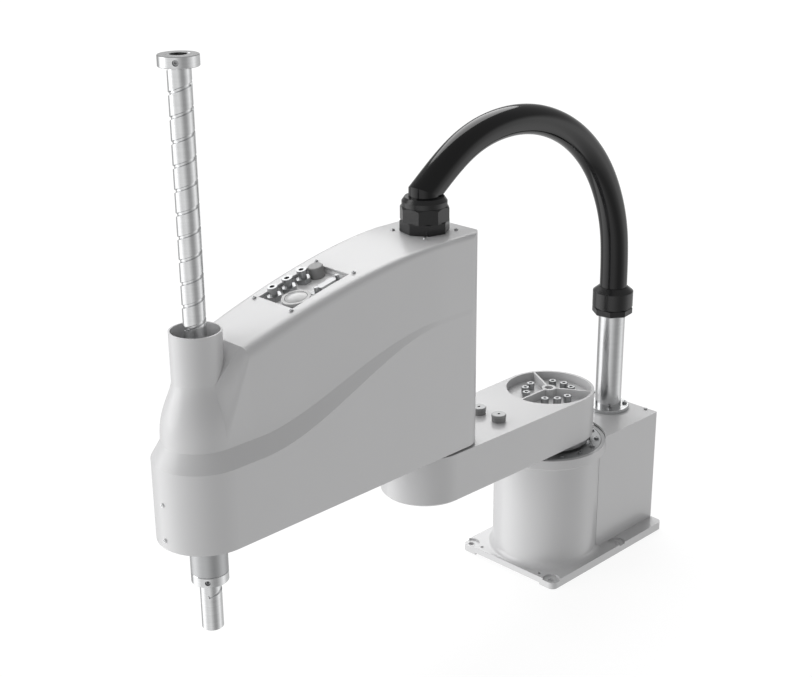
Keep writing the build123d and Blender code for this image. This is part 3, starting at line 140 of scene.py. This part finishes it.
def coated(
    name, colour, roughness, coat=0.0, metallic=0.0, peel=0.00001, tone=0.006, gloss_level=0.5
):
    """Paint or moulded plastic: a faint orange peel and slow changes of tone and gloss."""
    material, tree, shader = surface(name)
    shader.inputs["Metallic"].default_value = metallic
    shader.inputs["Specular IOR Level"].default_value = gloss_level
    shader.inputs["Coat Weight"].default_value = coat
    shader.inputs["Coat Roughness"].default_value = coat_roughness
    slow = object_noise(tree, tone_scale, detail=4.0)
    darker = tuple(max(channel - tone, 0.0) for channel in colour)
    lighter = tuple(min(channel + tone, 1.0) for channel in colour)
    tint = blend_colours(tree, spread(tree, slow, 0.0, 1.0), darker, lighter)
    tree.links.new(tint, shader.inputs["Base Color"])
    gloss = spread(
        tree,
        object_noise(tree, gloss_scale),
        roughness - paint_change,
        roughness + paint_change,
    )
    tree.links.new(gloss, shader.inputs["Roughness"])
    raise_bumps(tree, shader, object_noise(tree, peel_scale, detail=1.0), peel, peel_strength)
    return material


def metal(name, colour, roughness, grain=(1, 1, 60)):
    """Machined, ground or plated metal with its grain along one axis."""
    material, tree, shader = surface(name)
    shader.inputs["Metallic"].default_value = 1.0
    marks = object_noise(tree, grain_scale, detail=4.0, stretch=grain)
    tint = blend_colours(
        tree,
        spread(tree, marks, 0.0, 1.0),
        tuple(channel * grain_shade for channel in colour),
        colour,
    )
    tree.links.new(tint, shader.inputs["Base Color"])
    gloss = spread(tree, marks, roughness - metal_change, roughness + metal_change)
    tree.links.new(gloss, shader.inputs["Roughness"])
    raise_bumps(tree, shader, marks, grain_depth, grain_strength)
    return material


looks = {
    "cast_paint": coated("cast_paint", (0.55, 0.55, 0.555), 0.3, coat=0.25),
    "cover_shell": coated("cover_shell", (0.57, 0.57, 0.575), 0.36, coat=0.15),
    "sheet_paint": coated("sheet_paint", (0.55, 0.55, 0.555), 0.3, coat=0.2),
    "bare_casting": coated("bare_casting", (0.36, 0.36, 0.37), 0.5, metallic=0.8, peel=0.0001),
    "panel_paint": coated("panel_paint", (0.86, 0.86, 0.865), 0.4),
    "dark_plate": coated("dark_plate", (0.05, 0.05, 0.052), 0.45),
    "motor_black": coated("motor_black", (0.02, 0.02, 0.022), 0.45),
    "black_plastic": coated("black_plastic", (0.006, 0.006, 0.0065), 0.24, tone=0.001),
    "hose": coated("hose", (0.002, 0.002, 0.0023), 0.1, tone=0.0005, gloss_level=0.38),
    "rubber": coated("rubber", (0.24, 0.24, 0.24), 0.6, tone=0.004, peel=0.0001),
    "belt": coated("belt", (0.02, 0.02, 0.02), 0.8, tone=0.006),
    "button_rim": coated("button_rim", (0.42, 0.42, 0.42), 0.35),
    "button_dome": coated("button_dome", (0.45, 0.45, 0.45), 0.25, coat=0.3),
    "grey_cap": coated("grey_cap", (0.25, 0.25, 0.25), 0.45),
    "socket_shell": metal("socket_shell", (0.42, 0.425, 0.43), 0.5, grain=(1, 1, 1)),
    "dull_screw": metal("dull_screw", (0.34, 0.343, 0.345), 0.5, grain=(1, 1, 1)),
    "pale_screw": metal("pale_screw", (0.75, 0.755, 0.76), 0.55, grain=(1, 1, 1)),
    "ring_steel": metal("ring_steel", (0.44, 0.445, 0.45), 0.6),
    "turned_metal": metal("turned_metal", (0.44, 0.445, 0.45), 0.4),
    "steel": metal("steel", (0.33, 0.335, 0.34), 0.42),
    "bright_screw": metal("bright_screw", (0.36, 0.365, 0.37), 0.38, grain=(1, 1, 1)),
    "ground_steel": metal("ground_steel", (0.65, 0.655, 0.66), 0.16, grain=(1, 1, 12)),
    "pipe": metal("pipe", (0.6, 0.605, 0.61), 0.22, grain=(1, 1, 12)),
    "fitting": metal("fitting", (0.38, 0.385, 0.39), 0.4, grain=(1, 1, 1)),
}

# These nodes look a little different from the rest of their slot
own_looks = {
    "panel_cap": "grey_cap",
    "panel_socket": "socket_shell",
    "stop_screws": "dull_screw",
    "cover_screws": "pale_screw",
    "j1_ring_plate": "ring_steel",
}
slots = {entry["node"]: entry["material_slot"] for entry in frame["record"]["subparts"]}
for node, piece in frame["nodes"].items():
    piece.data.materials.clear()
    piece.data.materials.append(looks[own_looks.get(node, slots[node])])

# Hose: one smooth line along the route of part.py, x and z in metres, from the standpipe to
# the boot
hose_route = [
    (-0.1400, 0.3730),
    (-0.1400, 0.4280),
    (-0.1297, 0.4829),
    (-0.1063, 0.5347),
    (-0.0765, 0.5744),
    (-0.0386, 0.6071),
    (0.0045, 0.6305),
    (0.0524, 0.6450),
    (0.1039, 0.6488),
    (0.1553, 0.6411),
    (0.2013, 0.6205),
    (0.2332, 0.5964),
]
hose_radius = 0.0195
hose_sides = 48
hose_steps = 16

line_data = bpy.data.curves.new("hose_line", "CURVE")
line_data.dimensions = "3D"
line_data.resolution_u = hose_steps
spline = line_data.splines.new("NURBS")
spline.points.add(len(hose_route) - 1)
for point, (x, z) in zip(spline.points, hose_route):
    point.co = (x, 0.0, z, 1.0)
spline.order_u = 3
spline.use_endpoint_u = True
line = bpy.data.objects.new("hose_line", line_data)
bpy.context.scene.collection.objects.link(line)
bpy.context.view_layer.update()
depsgraph = bpy.context.evaluated_depsgraph_get()
line_mesh = bpy.data.meshes.new_from_object(line.evaluated_get(depsgraph))
hose_path = [vertex.co.copy() for vertex in line_mesh.vertices]
bpy.data.objects.remove(line)
bpy.data.meshes.remove(line_mesh)


def tube_mesh(name, path, radius, sides):
    """A closed tube round a path that lies in the plane y = 0."""
    work = bmesh.new()
    rings = []
    for index, place in enumerate(path):
        before = path[max(index - 1, 0)]
        after = path[min(index + 1, len(path) - 1)]
        along = (after - before).normalized()
        outward = Vector((-along.z, 0.0, along.x))
        side = Vector((0.0, 1.0, 0.0))
        ring = []
        for step in range(sides):
            angle = 2 * pi * step / sides
            ring.append(
                work.verts.new(place + radius * (cos(angle) * outward + sin(angle) * side))
            )
        rings.append(ring)
    for first, second in zip(rings, rings[1:]):
        for step in range(sides):
            after = (step + 1) % sides
            work.faces.new((first[step], first[after], second[after], second[step]))
    work.faces.new(list(reversed(rings[0])))
    work.faces.new(rings[-1])
    bmesh.ops.recalc_face_normals(work, faces=work.faces)
    for face in work.faces:
        face.smooth = len(face.verts) == 4
        if not face.smooth:
            for edge in face.edges:
                edge.smooth = False
    mesh = bpy.data.meshes.new(name)
    work.to_mesh(mesh)
    work.free()
    return mesh


hose_mesh = tube_mesh("hose", hose_path, hose_radius, hose_sides)
hose_mesh.materials.append(looks["hose"])
hose = bpy.data.objects.new("hose", hose_mesh)
bpy.context.scene.collection.objects.link(hose)
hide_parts("hose_lower", "hose_upper")
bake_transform(hose)

# Plain pale floor. It shows to the camera alone, so the studio also lights the object from
# below.
floor_size = 30.0
floor_drop = 0.0005
floor_colour = 0.16
floor_glow = 0.88
floor_mesh = bpy.data.meshes.new("floor")
floor_mesh.from_pydata(
    [
        (-floor_size, -floor_size, 0.0),
        (floor_size, -floor_size, 0.0),
        (floor_size, floor_size, 0.0),
        (-floor_size, floor_size, 0.0),
    ],
    [],
    [(0, 1, 2, 3)],
)
floor = bpy.data.objects.new("floor", floor_mesh)
bpy.context.scene.collection.objects.link(floor)
floor_material, tree, floor_shader = surface("floor")
floor_shader.inputs["Base Color"].default_value = (floor_colour, floor_colour, floor_colour, 1.0)
floor_shader.inputs["Emission Color"].default_value = (1.0, 1.0, 1.0, 1.0)
floor_shader.inputs["Emission Strength"].default_value = floor_glow
floor_shader.inputs["Roughness"].default_value = 0.9
floor_shader.inputs["Specular IOR Level"].default_value = 0.1
floor_mesh.materials.append(floor_material)
floor.location.z = -floor_drop
floor.visible_diffuse = False
floor.visible_glossy = False
floor.visible_shadow = False


# Soft studio light from behind the object and from the left of the camera
def sun(name, direction, strength, softness):
    """A sun that shines along a direction; its softness is its width in degrees."""
    data = bpy.data.lights.new(name, "SUN")
    data.energy = strength
    data.angle = radians(softness)
    lamp = bpy.data.objects.new(name, data)
    bpy.context.scene.collection.objects.link(lamp)
    lamp.rotation_euler = Vector(direction).to_track_quat("-Z", "Y").to_euler()


sun("back", (0.43, 0.55, -0.716), 1.7, 50)
sun("left", (-0.74, 0.62, -0.26), 1.6, 50)

# The studio's walls: the turn from the camera's side in degrees, and the brightness there.
# White walls stand beside the object, grey ones behind it and a dark one on the camera's right.
wall_tones = [
    (-180, 0.65),
    (-145, 0.5),
    (-122, 0.55),
    (-111, 1.6),
    (-84, 1.7),
    (-49, 0.96),
    (-10, 1.0),
    (10, 0.69),
    (29, 0.44),
    (49, 0.44),
    (71, 0.75),
    (97, 1.28),
    (122, 0.8),
    (150, 0.65),
    (180, 0.65),
]
brightest = 2.0
ceiling_tone = 0.4
ceiling_start = 0.0
ceiling_end = 0.35

world = bpy.data.worlds.new("studio")
bpy.context.scene.world = world
world.use_nodes = True
tree = world.node_tree
place = tree.nodes.new("ShaderNodeTexCoord")
turned = tree.nodes.new("ShaderNodeMapping")
turned.inputs["Rotation"].default_value = (0.0, 0.0, pi - camera_yaw)
around = tree.nodes.new("ShaderNodeTexGradient")
around.gradient_type = "RADIAL"
walls = tree.nodes.new("ShaderNodeValToRGB")
while len(walls.color_ramp.elements) < len(wall_tones):
    walls.color_ramp.elements.new(0.5)
for element, (turn, tone) in zip(walls.color_ramp.elements, wall_tones):
    element.position = 0.5 + turn / 360
    element.color = (tone / brightest, tone / brightest, tone / brightest, 1.0)
height = tree.nodes.new("ShaderNodeSeparateXYZ")
rise = tree.nodes.new("ShaderNodeMapRange")
rise.interpolation_type = "SMOOTHSTEP"
rise.inputs["From Min"].default_value = ceiling_start
rise.inputs["From Max"].default_value = ceiling_end
room = tree.nodes.new("ShaderNodeMix")
room.data_type = "RGBA"
ceiling = ceiling_tone / brightest
room.inputs["B"].default_value = (ceiling, ceiling, ceiling, 1.0)
tree.links.new(place.outputs["Generated"], turned.inputs["Vector"])
tree.links.new(turned.outputs["Vector"], around.inputs["Vector"])
tree.links.new(around.outputs["Fac"], walls.inputs["Fac"])
tree.links.new(place.outputs["Generated"], height.inputs["Vector"])
tree.links.new(height.outputs["Z"], rise.inputs["Value"])
tree.links.new(rise.outputs["Result"], room.inputs["Factor"])
tree.links.new(walls.outputs["Color"], room.inputs["A"])
background = tree.nodes["Background"]
tree.links.new(room.outputs["Result"], background.inputs["Color"])
background.inputs["Strength"].default_value = brightest
bpy.context.scene.view_settings.view_transform = "Standard"
bpy.context.scene.view_settings.look = "None"
